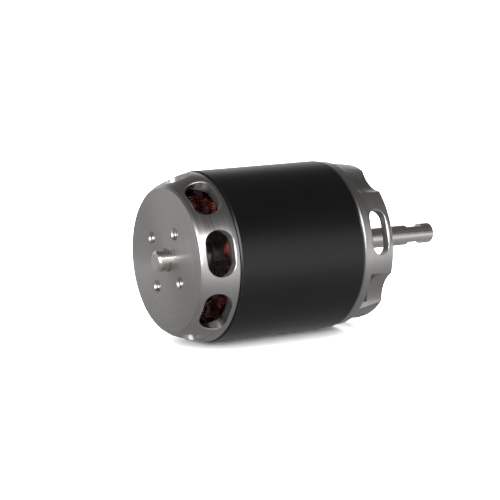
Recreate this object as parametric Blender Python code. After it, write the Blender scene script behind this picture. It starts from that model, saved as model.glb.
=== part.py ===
"""Brushless outrunner motor, lying along X.

The origin is on the motor's axis, in the plane of the base's rear end. The bell is towards -X
and the output shaft leaves towards +X. Angles are measured round the axis from -Y towards +Z.
"""
import math

import bmesh
import bpy
from mathutils import Matrix, Vector

MM = 0.001

# Driving dimensions
CAN_RADIUS = 14.2 * MM
CAN_WALL = 1.15 * MM
BELL_RADIUS = 14.0 * MM
BASE_RADIUS = 13.95 * MM
SHAFT_RADIUS = 1.75 * MM
BODY_LENGTH = 36.0 * MM
BELL_LENGTH = 6.1 * MM
BASE_LENGTH = 6.15 * MM
CROWN_LENGTH = 4.65 * MM
OUTPUT_LENGTH = 16.45 * MM
STUB_LENGTH = 2.0 * MM
RUNNING_GAP = 0.28 * MM
JOINT_GAP = 0.06 * MM
TUBE_RADIUS = 4.8 * MM
BEARING_RADIUS = 4.0 * MM
BEARING_WIDTH = 3.0 * MM
STACK_LENGTH = 17.2 * MM
STACK_RADIUS = 11.6 * MM
TOOTH_COUNT = 12
MAGNET_COUNT = 14
MAGNET_THICKNESS = 1.1 * MM
SLOT_COUNT = 8
LOBE_COUNT = 4
BALL_COUNT = 8
BELL_PHASE = 12.2
LOBE_PHASE = 15.6

# Places along the axis
FACE_X = -BODY_LENGTH
BELL_END_X = FACE_X + BELL_LENGTH
BASE_FRONT_X = -BASE_LENGTH
CAN_FRONT_X = BELL_END_X + JOINT_GAP
CAN_REAR_X = BASE_FRONT_X - RUNNING_GAP
PLATE_REAR_X = -CROWN_LENGTH
STACK_MID_X = -18.8 * MM
STACK_FRONT_X = STACK_MID_X - STACK_LENGTH / 2
STACK_REAR_X = STACK_MID_X + STACK_LENGTH / 2
TUBE_FRONT_X = -29.5 * MM
TUBE_REAR_X = -3.2 * MM
FRONT_BEARING_X = TUBE_FRONT_X + 0.15 * MM + BEARING_WIDTH / 2
REAR_BEARING_X = TUBE_REAR_X - 0.15 * MM - BEARING_WIDTH / 2
CLIP_X = REAR_BEARING_X + BEARING_WIDTH / 2 + 0.05 * MM
CLIP_WIDTH = 0.45 * MM

# Radii inside the motor
CAN_BORE = CAN_RADIUS - CAN_WALL
BELL_BORE = 12.2 * MM
HUB_RADIUS = 4.0 * MM
CROWN_RADIUS = 13.15 * MM
CROWN_BORE = 11.6 * MM
CROWN_GROOVE = 13.0 * MM
CROWN_GROOVE_WIDTH = 1.35 * MM
SHAFT_BORE = SHAFT_RADIUS + 0.03 * MM
INNER_RACE_RADIUS = 2.35 * MM
OUTER_RACE_BORE = 3.4 * MM
BALL_RADIUS = 0.5 * MM
BALL_CIRCLE = (INNER_RACE_RADIUS + OUTER_RACE_BORE) / 2
TOOTH_HALF_WIDTH = 0.9 * MM
INSULATOR_THICKNESS = 0.6 * MM

# Holes and openings
SLOT_WIDTH = 4.3 * MM
SLOT_LENGTH = 7.5 * MM
SLOT_X = FACE_X + 0.95 * MM + SLOT_WIDTH / 2
FACE_HOLE_CIRCLE = 5.65 * MM
FACE_HOLE_RADIUS = 0.82 * MM
GRUB_RADIUS = 0.9 * MM
GRUB_LENGTH = 1.9 * MM
GRUB_X = -32.2 * MM
GRUB_ANGLES = (BELL_PHASE + 90.0, BELL_PHASE + 180.0)
WINDOW_WIDTH = 3.3 * MM
WINDOW_LENGTH = 7.6 * MM
WINDOW_X = -2.66 * MM
FLUTE_RADIUS = 5.6 * MM
FLUTE_CIRCLE = 17.5 * MM
LEAD_HOLE_CIRCLE = 8.9 * MM
LEAD_HOLE_RADIUS = 1.9 * MM
MOUNT_HOLE_CIRCLE = 8.5 * MM
MOUNT_HOLE_RADIUS = 1.05 * MM
FLAT_START_X = 11.1 * MM
FLAT_END_X = 14.15 * MM
FLAT_HEIGHT = 1.32 * MM
FLAT_ANGLE = 98.0

BIG_STEPS = 56
SMALL_STEPS = 36
SHARP_ANGLE = math.radians(35)


def clear_scene():
    for item in list(bpy.data.objects):
        bpy.data.objects.remove(item, do_unlink=True)


def make_material(name, colour, roughness, metallic):
    material = bpy.data.materials.new(name)
    material.use_nodes = True
    shader = material.node_tree.nodes["Principled BSDF"]
    shader.inputs["Base Color"].default_value = (*colour, 1.0)
    shader.inputs["Roughness"].default_value = roughness
    shader.inputs["Metallic"].default_value = metallic
    return material


def around(angle, radius, x=0.0):
    """A point at an angle in degrees round the axis."""
    turn = math.radians(angle)
    return Vector((x, -radius * math.cos(turn), radius * math.sin(turn)))


def spin_to(angle):
    """The turn about X that carries the direction -Y round to an angle in degrees."""
    return Matrix.Rotation(-math.radians(angle), 4, "X")


def add_object(name, bm, material, parent):
    bmesh.ops.recalc_face_normals(bm, faces=bm.faces)
    mesh = bpy.data.meshes.new(name)
    bm.to_mesh(mesh)
    bm.free()
    mesh.materials.append(material)
    return add_mesh_object(name, mesh, parent)


def add_mesh_object(name, mesh, parent):
    mesh.shade_smooth()
    mesh.set_sharp_from_angle(angle=SHARP_ANGLE)
    item = bpy.data.objects.new(name, mesh)
    bpy.context.collection.objects.link(item)
    item.parent = parent
    return item


def add_empty(name, x=0.0, parent=None):
    item = bpy.data.objects.new(name, None)
    item.location = (x, 0.0, 0.0)
    item.parent = parent
    bpy.context.collection.objects.link(item)
    return item


def turned(bm, profile, steps=BIG_STEPS, centre=Vector((0.0, 0.0, 0.0))):
    """Adds a closed (x, radius) profile turned about the X axis. A radius of 0 is a pole."""
    rings = []
    for x, radius in profile:
        if radius == 0.0:
            rings.append([bm.verts.new(centre + Vector((x, 0.0, 0.0)))])
            continue
        turns = [360.0 * index / steps for index in range(steps)]
        rings.append([bm.verts.new(centre + around(turn, radius, x)) for turn in turns])
    for ring, following in zip(rings, rings[1:] + rings[:1]):
        if len(ring) == 1 and len(following) == 1:
            continue
        for index in range(steps):
            after = (index + 1) % steps
            corners = [ring[index % len(ring)], ring[after % len(ring)]]
            corners += [following[after % len(following)], following[index % len(following)]]
            bm.faces.new(list(dict.fromkeys(corners)))


def arc(centre_x, centre_r, radius, start, end, steps=5):
    """Points on a profile's rounded stretch, with angles in degrees from +X towards +radius."""
    points = []
    for index in range(steps + 1):
        turn = math.radians(start + (end - start) * index / steps)
        points.append((centre_x + radius * math.cos(turn), centre_r + radius * math.sin(turn)))
    return points


def plate(bm, outline, start_x, end_x, hole=None):
    """Adds a flat shape given as (y, z) points, with an optional hole, from start_x to end_x."""
    edges = []
    for loop in [outline] + ([hole] if hole else []):
        verts = [bm.verts.new((start_x, y, z)) for y, z in loop]
        edges += [bm.edges.new(pair) for pair in zip(verts, verts[1:] + verts[:1])]
    faces = bmesh.ops.triangle_fill(bm, edges=edges, use_beauty=True)["geom"]
    faces = [item for item in faces if isinstance(item, bmesh.types.BMFace)]
    extruded = bmesh.ops.extrude_face_region(bm, geom=faces)["geom"]
    moved = [item for item in extruded if isinstance(item, bmesh.types.BMVert)]
    bmesh.ops.translate(bm, verts=moved, vec=(end_x - start_x, 0.0, 0.0))


def circle(radius, steps, centre=(0.0, 0.0)):
    turns = [2 * math.pi * index / steps for index in range(steps)]
    return [(centre[0] + radius * math.cos(turn), centre[1] + radius * math.sin(turn)) for turn in turns]


def rounded_outline(half_x, half_y, corner, steps):
    """A rectangle with round corners, as (x, y) points."""
    points = []
    for quarter in range(4):
        sign_x = 1 if quarter in (0, 3) else -1
        sign_y = 1 if quarter in (0, 1) else -1
        for index in range(steps + 1):
            turn = math.radians(90.0 * (quarter + index / steps))
            x = sign_x * (half_x - corner) + corner * math.cos(turn)
            y = sign_y * (half_y - corner) + corner * math.sin(turn)
            if not points or math.dist(points[-1], (x, y)) > 1e-7:
                points.append((x, y))
    if math.dist(points[0], points[-1]) < 1e-7:
        points.pop()
    return points


def radial_prism(bm, outline, centre_x, angle, start_radius, end_radius):
    """Adds a prism that runs outwards at an angle, with an (x, sideways) outline."""
    turn = spin_to(angle)
    bottom = [bm.verts.new(turn @ Vector((centre_x + x, -start_radius, y))) for x, y in outline]
    top = [bm.verts.new(turn @ Vector((centre_x + x, -end_radius, y))) for x, y in outline]
    bm.faces.new(bottom)
    bm.faces.new(top)
    for index in range(len(outline)):
        after = (index + 1) % len(outline)
        bm.faces.new((bottom[index], bottom[after], top[after], top[index]))


def cut(item, name, bm):
    """Takes the solids in bm out of an object, with a hidden cutter that follows it."""
    bmesh.ops.recalc_face_normals(bm, faces=bm.faces)
    mesh = bpy.data.meshes.new(name)
    bm.to_mesh(mesh)
    bm.free()
    cutter = bpy.data.objects.new(name, mesh)
    cutter.parent = item
    cutter.hide_render = True
    cutter.display_type = "WIRE"
    bpy.context.collection.objects.link(cutter)
    modifier = item.modifiers.new(name, "BOOLEAN")
    modifier.operation = "DIFFERENCE"
    modifier.solver = "EXACT"
    modifier.object = cutter


def make_bell(material, parent):
    plate_x = FACE_X + 2.0 * MM
    hub_end_x = -30.1 * MM
    spigot_end_x = BELL_END_X + 1.6 * MM
    profile = [(FACE_X, 11.55 * MM), (FACE_X + 0.6 * MM, 12.45 * MM)]
    profile += [(FACE_X + 1.6 * MM, 13.05 * MM), (FACE_X + 2.8 * MM, 13.55 * MM)]
    profile += [(FACE_X + 4.0 * MM, 13.88 * MM), (FACE_X + 5.0 * MM, BELL_RADIUS)]
    profile += [(BELL_END_X - 0.12 * MM, BELL_RADIUS), (BELL_END_X, BELL_RADIUS - 0.12 * MM)]
    profile += [(BELL_END_X, CAN_BORE - 0.05 * MM), (spigot_end_x, CAN_BORE - 0.05 * MM)]
    profile += [(spigot_end_x, BELL_BORE)]
    profile += arc(plate_x + 0.7 * MM, BELL_BORE - 0.7 * MM, 0.7 * MM, 90, 180, 3)
    profile += arc(plate_x + 0.5 * MM, HUB_RADIUS + 0.5 * MM, 0.5 * MM, 180, 270, 2)
    profile += [(hub_end_x - 0.3 * MM, HUB_RADIUS), (hub_end_x, HUB_RADIUS - 0.3 * MM)]
    profile += [(hub_end_x, SHAFT_BORE)]
    profile += [(FACE_X + 0.25 * MM, SHAFT_BORE), (FACE_X, SHAFT_BORE + 0.25 * MM)]
    bm = bmesh.new()
    turned(bm, profile)
    bell = add_object("bell", bm, material, parent)
    cut(bell, "bell_slot_cutter", bell_slots())
    cut(bell, "bell_hole_cutter", bell_holes(plate_x))
    return bell


def bell_slots():
    outline = rounded_outline(SLOT_WIDTH / 2, SLOT_LENGTH / 2, SLOT_WIDTH / 2, 6)
    bm = bmesh.new()
    for index in range(SLOT_COUNT):
        angle = BELL_PHASE + 360.0 * index / SLOT_COUNT
        radial_prism(bm, outline, SLOT_X, angle, 10.4 * MM, CAN_RADIUS + MM)
    return bm


def bell_holes(plate_x):
    """Four tapped holes with chamfered mouths, and the grub screws' two holes in the hub."""
    bm = bmesh.new()
    mouth = FACE_HOLE_RADIUS + 0.25 * MM
    bore = [(FACE_X - 0.1 * MM, 0.0), (FACE_X - 0.1 * MM, mouth + 0.1 * MM), (FACE_X + 0.25 * MM, FACE_HOLE_RADIUS)]
    bore += [(plate_x + MM, FACE_HOLE_RADIUS), (plate_x + MM, 0.0)]
    for index in range(4):
        centre = around(BELL_PHASE + 45.0 + 90.0 * index, FACE_HOLE_CIRCLE)
        turned(bm, bore, 16, centre)
    outline = circle(GRUB_RADIUS + 0.05 * MM, 12)
    for angle in GRUB_ANGLES:
        radial_prism(bm, outline, GRUB_X, angle, MM, HUB_RADIUS + MM)
    return bm


def make_can(material, parent):
    edge = 0.22 * MM
    profile = [(CAN_FRONT_X, CAN_RADIUS - edge), (CAN_FRONT_X + edge, CAN_RADIUS)]
    profile += [(CAN_REAR_X - edge, CAN_RADIUS), (CAN_REAR_X, CAN_RADIUS - edge)]
    profile += [(CAN_REAR_X, CAN_BORE), (CAN_FRONT_X, CAN_BORE)]
    bm = bmesh.new()
    turned(bm, profile)
    return add_object("flux_ring", bm, material, parent)


def make_magnets(material, parent):
    outer = CAN_BORE - 0.05 * MM
    inner = outer - MAGNET_THICKNESS
    half_angle = 11.5
    turns = [half_angle * (index / 2 - 1) for index in range(5)]
    outline = [around(turn, outer).yz for turn in turns]
    outline += [around(turn, inner).yz for turn in reversed(turns)]
    bm = bmesh.new()
    plate(bm, outline, STACK_FRONT_X, STACK_REAR_X)
    first = add_object("magnet_01", bm, material, parent)
    for index in range(1, MAGNET_COUNT):
        magnet = add_mesh_object(f"magnet_{index + 1:02d}", first.data, parent)
        magnet.rotation_euler.x = 2 * math.pi * index / MAGNET_COUNT


def make_shaft(material, parent):
    tip_x = FACE_X - STUB_LENGTH
    groove_start_x = CLIP_X - 0.03 * MM
    groove_end_x = CLIP_X + CLIP_WIDTH + 0.03 * MM
    groove = SHAFT_RADIUS - 0.3 * MM
    profile = [(tip_x, 0.0), (tip_x, SHAFT_RADIUS - 0.42 * MM), (tip_x + 0.4 * MM, SHAFT_RADIUS)]
    profile += [(groove_start_x, SHAFT_RADIUS), (groove_start_x, groove)]
    profile += [(groove_end_x, groove), (groove_end_x, SHAFT_RADIUS)]
    profile += arc(OUTPUT_LENGTH - 0.45 * MM, SHAFT_RADIUS - 0.45 * MM, 0.45 * MM, 90, 0, 3)
    profile += [(OUTPUT_LENGTH, 0.0)]
    bm = bmesh.new()
    turned(bm, profile, SMALL_STEPS)
    shaft = add_object("shaft", bm, material, parent)
    flats = bmesh.new()
    half_width = 3 * MM
    middle_x = (FLAT_START_X + FLAT_END_X) / 2
    outline = rounded_outline((FLAT_END_X - FLAT_START_X) / 2, half_width, 0.1 * MM, 1)
    for angle in (FLAT_ANGLE, FLAT_ANGLE + 180.0):
        radial_prism(flats, outline, middle_x, angle, FLAT_HEIGHT, 3 * MM)
    cut(shaft, "shaft_flat_cutter", flats)


def make_grub_screws(material, parent):
    for number, angle in enumerate(GRUB_ANGLES, 1):
        bm = bmesh.new()
        start = SHAFT_RADIUS + 0.05 * MM
        radial_prism(bm, circle(GRUB_RADIUS, 24), 0.0, angle, start, start + GRUB_LENGTH)
        screw = add_object(f"grub_screw_{number}", bm, material, parent)
        screw.location.x = GRUB_X
        socket = bmesh.new()
        radial_prism(socket, circle(0.45 * MM, 6), 0.0, angle, start + GRUB_LENGTH - 0.9 * MM, 5 * MM)
        cut(screw, f"grub_socket_cutter_{number}", socket)


def make_ring(name, start_x, end_x, inner, outer, material, parent, steps=SMALL_STEPS):
    bm = bmesh.new()
    turned(bm, [(start_x, inner), (start_x, outer), (end_x, outer), (end_x, inner)], steps)
    return add_object(name, bm, material, parent)


def make_clip(material, parent):
    """An open retaining ring that sits in the shaft's groove behind the rear bearing."""
    turns = [30.0 + 300.0 * index / 24 for index in range(25)]
    outline = [around(turn, 2.6 * MM).yz for turn in turns]
    outline += [around(turn, SHAFT_RADIUS - 0.26 * MM).yz for turn in reversed(turns)]
    bm = bmesh.new()
    plate(bm, outline, CLIP_X, CLIP_X + CLIP_WIDTH)
    add_object("shaft_retaining_clip", bm, material, parent)


def make_bearing(end, x, shield_side, materials, stator, rotor):
    """One ball bearing: two races, a shield, and a cage with its balls that turns by itself."""
    half = BEARING_WIDTH / 2
    steel = materials["steel"]
    make_ring(f"{end}_bearing_inner_race", x - half, x + half, SHAFT_BORE, INNER_RACE_RADIUS, steel, rotor)
    outer = BEARING_RADIUS - 0.02 * MM
    make_ring(f"{end}_bearing_outer_race", x - half, x + half, OUTER_RACE_BORE, outer, steel, stator)
    shield_x = x + shield_side * (half - 0.2 * MM)
    inner = INNER_RACE_RADIUS + 0.07 * MM
    outer = OUTER_RACE_BORE - 0.05 * MM
    make_ring(f"{end}_bearing_shield", shield_x - 0.08 * MM, shield_x + 0.08 * MM, inner, outer, steel, stator)
    centre = add_empty(f"{end}_cage_axis", x)
    half_cage = 0.42 * MM
    cage = make_ring(f"{end}_bearing_cage", -half_cage, half_cage, BALL_CIRCLE - 0.18 * MM,
                     BALL_CIRCLE + 0.18 * MM, materials["brass"], centre, 24)
    balls = bmesh.new()
    for index in range(BALL_COUNT):
        place = Matrix.Translation(around(360.0 * index / BALL_COUNT, BALL_CIRCLE))
        bmesh.ops.create_uvsphere(balls, u_segments=8, v_segments=6, radius=BALL_RADIUS, matrix=place)
    cut(cage, f"{end}_ball_set", balls)
    cage.modifiers[0].operation = "UNION"


def make_base(material, parent):
    edge = 0.15 * MM
    hub = 5.9 * MM
    groove_end_x = PLATE_REAR_X + CROWN_GROOVE_WIDTH
    profile = [(-0.12 * MM, CROWN_RADIUS), (PLATE_REAR_X, BASE_RADIUS - 0.12 * MM)]
    profile += [(PLATE_REAR_X - 0.05 * MM, BASE_RADIUS), (BASE_FRONT_X + edge, BASE_RADIUS)]
    profile += [(BASE_FRONT_X, BASE_RADIUS - edge), (BASE_FRONT_X, TUBE_RADIUS + 0.03 * MM)]
    profile += [(TUBE_REAR_X, TUBE_RADIUS + 0.03 * MM), (TUBE_REAR_X, hub - 0.25 * MM)]
    profile += [(TUBE_REAR_X - 0.25 * MM, hub), (PLATE_REAR_X, hub)]
    profile += [(PLATE_REAR_X, CROWN_GROOVE), (groove_end_x, CROWN_GROOVE)]
    profile += [(groove_end_x, CROWN_BORE), (0.0, CROWN_BORE), (0.0, CROWN_RADIUS - 0.12 * MM)]
    bm = bmesh.new()
    turned(bm, profile)
    base = add_object("base", bm, material, parent)
    cut(base, "base_window_cutter", base_windows())
    cut(base, "base_flute_cutter", base_flutes())
    cut(base, "base_hole_cutter", base_holes())


def base_windows():
    outline = rounded_outline(WINDOW_WIDTH / 2, WINDOW_LENGTH / 2, WINDOW_WIDTH / 2, 6)
    bm = bmesh.new()
    for index in range(LOBE_COUNT):
        angle = LOBE_PHASE + 360.0 * index / LOBE_COUNT
        radial_prism(bm, outline, WINDOW_X, angle, 10.5 * MM, CAN_RADIUS + MM)
    return bm


def base_flutes():
    bm = bmesh.new()
    for index in range(LOBE_COUNT):
        angle = LOBE_PHASE + 360.0 * (index + 0.5) / LOBE_COUNT
        centre = around(angle, FLUTE_CIRCLE).yz
        plate(bm, circle(FLUTE_RADIUS, 32, centre), PLATE_REAR_X - 0.1 * MM, 2 * MM)
    return bm


def base_holes():
    """Round openings for the leads and tapped holes for the mounting screws, by turns."""
    bm = bmesh.new()
    for index in range(LOBE_COUNT):
        lead = around(LOBE_PHASE + 360.0 * index / LOBE_COUNT, LEAD_HOLE_CIRCLE).yz
        mount = around(LOBE_PHASE + 360.0 * (index + 0.5) / LOBE_COUNT, MOUNT_HOLE_CIRCLE).yz
        plate(bm, circle(LEAD_HOLE_RADIUS, 20, lead), BASE_FRONT_X - MM, PLATE_REAR_X + MM)
        plate(bm, circle(MOUNT_HOLE_RADIUS, 16, mount), BASE_FRONT_X - MM, PLATE_REAR_X + MM)
    return bm


def make_grommet(material, parent):
    """The rubber bush in the lead opening on the far side of the base."""
    flange = 2.4 * MM
    waist = LEAD_HOLE_RADIUS - 0.06 * MM
    front_x = BASE_FRONT_X - 0.05 * MM
    rear_x = PLATE_REAR_X + 0.05 * MM
    thickness = 0.45 * MM
    bore = 1.2 * MM
    profile = [(front_x - thickness, bore), (front_x - thickness, flange), (front_x, flange), (front_x, waist)]
    profile += [(rear_x, waist), (rear_x, flange), (rear_x + thickness, flange), (rear_x + thickness, bore)]
    bm = bmesh.new()
    turned(bm, profile, 20, around(LOBE_PHASE + 180.0, LEAD_HOLE_CIRCLE))
    add_object("lead_grommet", bm, material, parent)


def make_bearing_tube(material, parent):
    seat = BEARING_RADIUS + 0.02 * MM
    bore = 3.2 * MM
    front_step_x = FRONT_BEARING_X + BEARING_WIDTH / 2 + 0.05 * MM
    rear_step_x = REAR_BEARING_X - BEARING_WIDTH / 2 - 0.05 * MM
    profile = [(TUBE_FRONT_X, seat), (TUBE_FRONT_X, TUBE_RADIUS), (TUBE_REAR_X, TUBE_RADIUS)]
    profile += [(TUBE_REAR_X, seat), (rear_step_x, seat), (rear_step_x, bore)]
    profile += [(front_step_x, bore), (front_step_x, seat)]
    bm = bmesh.new()
    turned(bm, profile, SMALL_STEPS)
    add_object("bearing_tube", bm, material, parent)


def tooth_outline(hub, neck, shoe_inner, shoe_outer, shoe_half_angle):
    """The outline of a hub with round-tipped teeth, as (y, z) points."""
    points = []
    pitch = 360.0 / TOOTH_COUNT
    for index in range(TOOTH_COUNT):
        middle = LOBE_PHASE + pitch * index
        foot = math.degrees(math.asin(TOOTH_HALF_WIDTH / hub))
        side = math.degrees(math.asin(TOOTH_HALF_WIDTH / neck))
        half = [(pitch / 2, hub), (foot, hub), (side, neck), (shoe_half_angle, shoe_inner)]
        half += [(shoe_half_angle, shoe_outer), (shoe_half_angle / 2, shoe_outer)]
        points += [around(middle - turn, radius).yz for turn, radius in half]
        points += [around(middle + turn, radius).yz for turn, radius in reversed(half[1:])]
    return points


def make_stator(materials, parent):
    hub = 6.9 * MM
    bore = circle(TUBE_RADIUS + 0.04 * MM, SMALL_STEPS)
    outline = tooth_outline(hub, 10.5 * MM, 11.1 * MM, STACK_RADIUS, 11.0)
    bm = bmesh.new()
    plate(bm, outline, STACK_FRONT_X, STACK_REAR_X, bore)
    add_object("stator_stack", bm, materials["lamination"], parent)
    outline = tooth_outline(hub, 10.5 * MM, 11.0 * MM, STACK_RADIUS - 0.2 * MM, 10.5)
    gap = 0.05 * MM
    front_x = STACK_FRONT_X - gap
    rear_x = STACK_REAR_X + gap
    ends = (("front", front_x - INSULATOR_THICKNESS, front_x), ("rear", rear_x, rear_x + INSULATOR_THICKNESS))
    for end, start_x, end_x in ends:
        bm = bmesh.new()
        plate(bm, outline, start_x, end_x, bore)
        add_object(f"{end}_stator_insulator", bm, materials["insulation"], parent)


def make_coils(material, parent):
    """One winding round each tooth, wider towards its outer end."""
    clearance = 0.1 * MM
    hole_x = STACK_LENGTH / 2 + INSULATOR_THICKNESS + clearance
    hole_y = TOOTH_HALF_WIDTH + clearance
    steps = 2
    hole = rounded_outline(hole_x, hole_y, 0.3 * MM, steps)
    stations = ((7.2 * MM, 1.82 * MM, 1.7 * MM), (8.6 * MM, 2.15 * MM, 2.1 * MM), (10.3 * MM, 2.4 * MM, 1.9 * MM))
    bm = bmesh.new()
    loops = []
    for radius, half_width, end_build in stations:
        outline = rounded_outline(hole_x + end_build, half_width, 1.5 * MM, steps)
        loops.append([bm.verts.new((x, -radius, y)) for x, y in outline])
    for radius in (stations[-1][0], stations[0][0]):
        loops.append([bm.verts.new((x, -radius, y)) for x, y in hole])
    for loop, following in zip(loops, loops[1:] + loops[:1]):
        for index in range(len(loop)):
            after = (index + 1) % len(loop)
            bm.faces.new((loop[index], loop[after], following[after], following[index]))
    first = add_object("coil_01", bm, material, parent)
    coils = [first]
    coils += [add_mesh_object(f"coil_{number:02d}", first.data, parent) for number in range(2, TOOTH_COUNT + 1)]
    for index, coil in enumerate(coils):
        coil.location.x = STACK_MID_X
        coil.rotation_euler.x = -math.radians(LOBE_PHASE + 360.0 * index / TOOTH_COUNT)


def make_materials():
    return {
        "aluminium": make_material("machined_aluminium", (0.50, 0.49, 0.48), 0.32, 1.0),
        "black": make_material("black_flux_ring", (0.02, 0.02, 0.021), 0.38, 0.6),
        "steel": make_material("ground_steel", (0.62, 0.61, 0.60), 0.22, 1.0),
        "magnet": make_material("nickel_magnet", (0.55, 0.53, 0.50), 0.3, 1.0),
        "lamination": make_material("coated_laminations", (0.05, 0.06, 0.05), 0.5, 0.2),
        "insulation": make_material("end_insulator", (0.10, 0.12, 0.10), 0.5, 0.0),
        "copper": make_material("enamelled_copper", (0.42, 0.07, 0.03), 0.3, 0.7),
        "brass": make_material("bearing_cage", (0.60, 0.45, 0.20), 0.35, 1.0),
        "rubber": make_material("grommet_rubber", (0.03, 0.03, 0.03), 0.7, 0.0),
    }


def main():
    clear_scene()
    materials = make_materials()
    stator = add_empty("stator_frame")
    rotor = add_empty("rotor_axis", 0.0, stator)
    make_base(materials["aluminium"], stator)
    make_bearing_tube(materials["aluminium"], stator)
    make_stator(materials, stator)
    make_coils(materials["copper"], stator)
    make_grommet(materials["rubber"], stator)
    make_bell(materials["aluminium"], rotor)
    make_can(materials["black"], rotor)
    make_magnets(materials["magnet"], rotor)
    make_shaft(materials["steel"], rotor)
    make_grub_screws(materials["steel"], rotor)
    washer_end_x = FRONT_BEARING_X - BEARING_WIDTH / 2 - 0.05 * MM
    make_ring("thrust_washer", -30.05 * MM, washer_end_x, SHAFT_BORE, INNER_RACE_RADIUS, materials["steel"], rotor)
    make_clip(materials["steel"], rotor)
    make_bearing("front", FRONT_BEARING_X, -1, materials, stator, rotor)
    make_bearing("rear", REAR_BEARING_X, 1, materials, stator, rotor)


main()
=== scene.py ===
"""The brushless outrunner motor's looks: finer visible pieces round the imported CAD, and a studio.

The motor lies along X, with its bell towards -X, its output shaft towards +X and the origin on its
axis. Angles are in degrees round the axis, from -Y towards +Z.
"""
import math
import random

import bmesh
import bpy
from mathutils import Matrix, Vector, noise


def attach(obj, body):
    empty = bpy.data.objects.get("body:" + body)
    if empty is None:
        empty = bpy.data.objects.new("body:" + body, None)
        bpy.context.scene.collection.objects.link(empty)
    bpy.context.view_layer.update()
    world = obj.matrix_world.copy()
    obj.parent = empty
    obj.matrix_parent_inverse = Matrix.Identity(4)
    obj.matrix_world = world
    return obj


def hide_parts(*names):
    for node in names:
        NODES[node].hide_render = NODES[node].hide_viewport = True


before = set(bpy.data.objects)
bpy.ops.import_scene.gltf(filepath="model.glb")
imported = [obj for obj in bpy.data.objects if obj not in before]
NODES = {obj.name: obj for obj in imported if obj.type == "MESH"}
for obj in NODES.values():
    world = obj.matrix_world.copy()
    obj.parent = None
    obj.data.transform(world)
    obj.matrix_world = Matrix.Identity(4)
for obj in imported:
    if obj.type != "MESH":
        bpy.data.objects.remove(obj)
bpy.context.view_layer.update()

MM = 0.001

# The motor's dimensions, as in the CAD
CAN_RADIUS = 14.2 * MM
CAN_WALL = 1.15 * MM
BELL_RADIUS = 14.0 * MM
BASE_RADIUS = 13.95 * MM
SHAFT_RADIUS = 1.75 * MM
FACE_X = -36.0 * MM
BELL_END_X = FACE_X + 6.1 * MM
BASE_FRONT_X = -6.15 * MM
PLATE_REAR_X = -4.65 * MM
CAN_FRONT_X = BELL_END_X + 0.06 * MM
CAN_REAR_X = BASE_FRONT_X - 0.28 * MM
OUTPUT_LENGTH = 16.45 * MM
STUB_LENGTH = 2.0 * MM
TUBE_RADIUS = 4.8 * MM
TUBE_REAR_X = -3.2 * MM
CAN_BORE = CAN_RADIUS - CAN_WALL
BELL_BORE = 12.2 * MM
HUB_RADIUS = 4.0 * MM
CROWN_RADIUS = 13.15 * MM
CROWN_BORE = 11.6 * MM
CROWN_GROOVE = 13.0 * MM
SHAFT_BORE = SHAFT_RADIUS + 0.03 * MM
SLOT_WIDTH = 4.3 * MM
SLOT_LENGTH = 7.5 * MM
SLOT_X = FACE_X + 0.95 * MM + SLOT_WIDTH / 2
SLOT_COUNT = 8
BELL_PHASE = 12.2
FACE_HOLE_CIRCLE = 5.65 * MM
FACE_HOLE_RADIUS = 0.82 * MM
GRUB_RADIUS = 0.9 * MM
GRUB_X = -32.2 * MM
WINDOW_WIDTH = 3.3 * MM
WINDOW_LENGTH = 7.6 * MM
WINDOW_X = -2.66 * MM
LOBE_COUNT = 4
LOBE_PHASE = 15.6
FLUTE_RADIUS = 5.6 * MM
FLUTE_CIRCLE = 17.5 * MM
LEAD_HOLE_CIRCLE = 8.9 * MM
LEAD_HOLE_RADIUS = 1.9 * MM
MOUNT_HOLE_CIRCLE = 8.5 * MM
MOUNT_HOLE_RADIUS = 1.05 * MM
FLAT_START_X = 11.1 * MM
FLAT_END_X = 14.15 * MM
FLAT_HEIGHT = 1.32 * MM
FLAT_ANGLE = 98.0
CLIP_X = -3.3 * MM
CLIP_WIDTH = 0.45 * MM
STACK_MID_X = -18.8 * MM
COIL_COUNT = 12
COIL_HOLE_X = 9.3 * MM
COIL_HOLE_Y = 1.0 * MM

# Details that only the visible pieces have, or have finer than the CAD
FACE_RIM_RADIUS = 11.84 * MM
FLANK_POINTS = ((0.26, 12.12), (1.2, 12.70), (2.2, 13.15), (3.2, 13.52), (4.2, 13.83), (5.0, 14.0))
SLOT_CHAMFER = 0.09 * MM
WINDOW_CHAMFER = 0.08 * MM
CROWN_GROOVE_WIDTH = 1.65 * MM
THREAD_OVERRUN = 1.0 * MM
WIRE_RADIUS = 0.16 * MM
WIRE_PITCH = 0.33 * MM
WIRE_LAYERS = 4
LAYER_STEP_MM = 0.295
LAYER_END_STEP_MM = 0.43
WINDING_INNER = 7.2 * MM
WINDING_MIDDLE = 8.6 * MM
WINDING_OUTER = 10.3 * MM
WINDING_VARIANTS = 3

FINE_STEPS = 240
SHAFT_STEPS = 128
SHARP_ANGLE = math.radians(12)
WIRE_SHARP_ANGLE = math.radians(80)

# Lights and camera
FLOOR_Z = -CAN_RADIUS - 0.02 * MM
FLOOR_HALF = 3.0
FILL_LEVEL = 4.0
# Height of a direction from 0 at the horizon to 1 overhead, and how bright reflections see it
SKY_STOPS = ((0.0, 0.95), (0.26, 0.92), (0.38, 0.55), (0.50, 0.20), (0.65, 0.10), (1.0, 0.10))
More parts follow.
